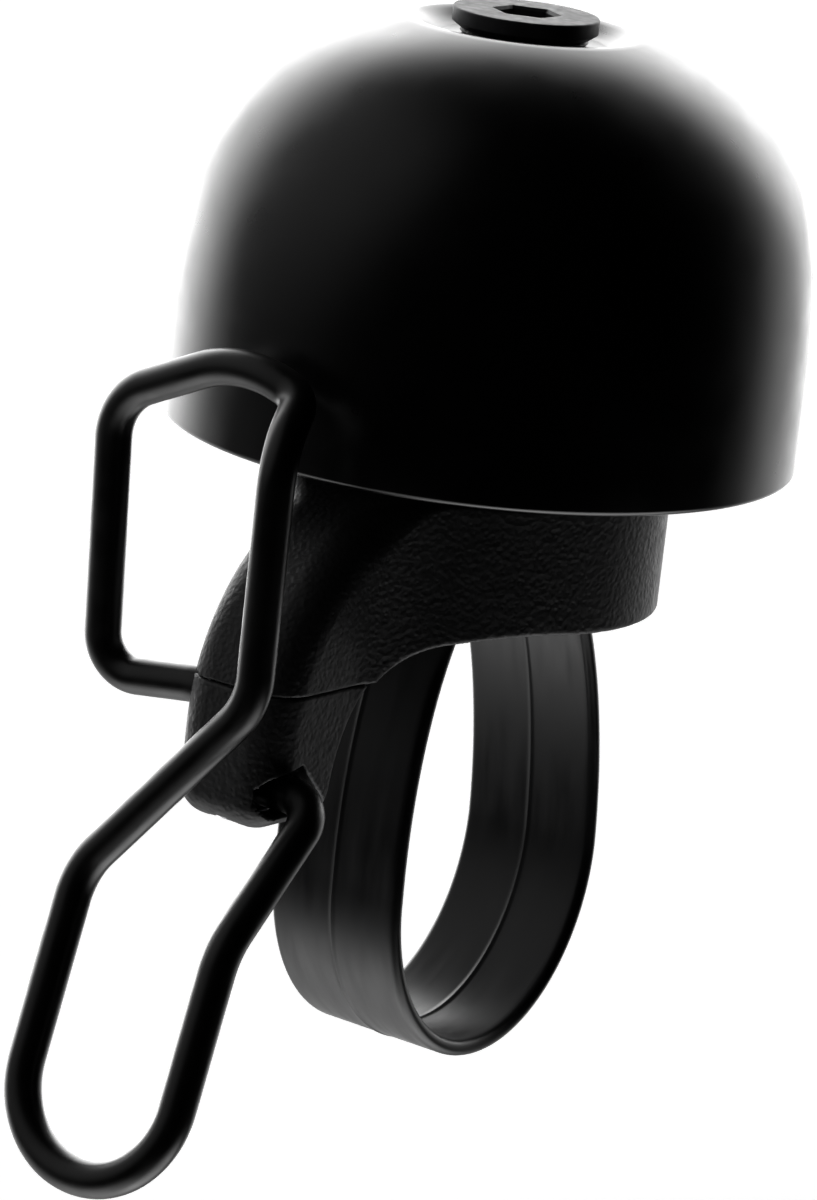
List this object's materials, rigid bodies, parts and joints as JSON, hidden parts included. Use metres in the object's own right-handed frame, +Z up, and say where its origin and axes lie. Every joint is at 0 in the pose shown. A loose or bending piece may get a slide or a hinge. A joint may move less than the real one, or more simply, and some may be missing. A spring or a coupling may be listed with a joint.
{
  "type": "bicycle bell",
  "caption": "Handlebar bell with a tall round dome, a sprung bent-wire thumb lever that strikes it, a moulded arm and a flexible clamp strap.",
  "frame": {"origin": "centre of the flat seat under the base, on the dome's axis, where the bell stands on the handlebar", "axes": "+Z up along the dome's axis, X along the handlebar, the lever on the -Y side"},
  "size_m": [0.046, 0.0622, 0.081],
  "materials": {
    "dome_paint": "satin black paint on spun metal",
    "black_oxide_steel": "black oxide steel",
    "zinc_steel": "zinc-plated steel",
    "turned_alloy": "turned aluminium",
    "moulded_nylon": "fine moulded grain, matt black",
    "strap_nylon": "smooth satin black",
    "coated_wire": "satin black coated spring steel",
    "grommet_rubber": "matt black rubber"
  },
  "bodies": {
    "housing": {"bell_body": "moulded_nylon", "bell_dome": "dome_paint", "head_washer": "moulded_nylon", "dome_grommet": "grommet_rubber", "post_washer": "zinc_steel", "post_sleeve": "turned_alloy", "guide_cap": "moulded_nylon", "lever_keeper": "moulded_nylon", "keeper_screw": "zinc_steel"},
    "screw": {"dome_screw": "black_oxide_steel"},
    "clamp": {"clamp_carriage": "moulded_nylon", "clamp_nut": "zinc_steel", "strap_pin_front": "zinc_steel", "strap_pin_rear": "zinc_steel", "clamp_strap": "strap_nylon"},
    "lever": {"lever_wire": "coated_wire"}
  },
  "joints": [
    {"name": "lever_hinge", "type": "hinge", "parent": "housing", "child": "lever", "pos_m": [0, -0.0235, -0.00545], "axis": [1, 0, 0], "range_deg": [-2.4, 11], "stiffness_Nm_per_rad": 0.3},
    {"name": "screw_turn", "type": "hinge", "parent": "housing", "child": "screw", "pos_m": [0, 0, 0.041], "axis": [0, 0, -1], "range_deg": [0, 720]},
    {"name": "strap_climb", "type": "slide", "parent": "housing", "child": "clamp", "axis": [0, 0, 1], "range_m": [0, 0.002]}
  ],
  "couplings": [
    {"joint": "screw_turn", "follows": "strap_climb", "rad_per_m": 6283.2}
  ]
}
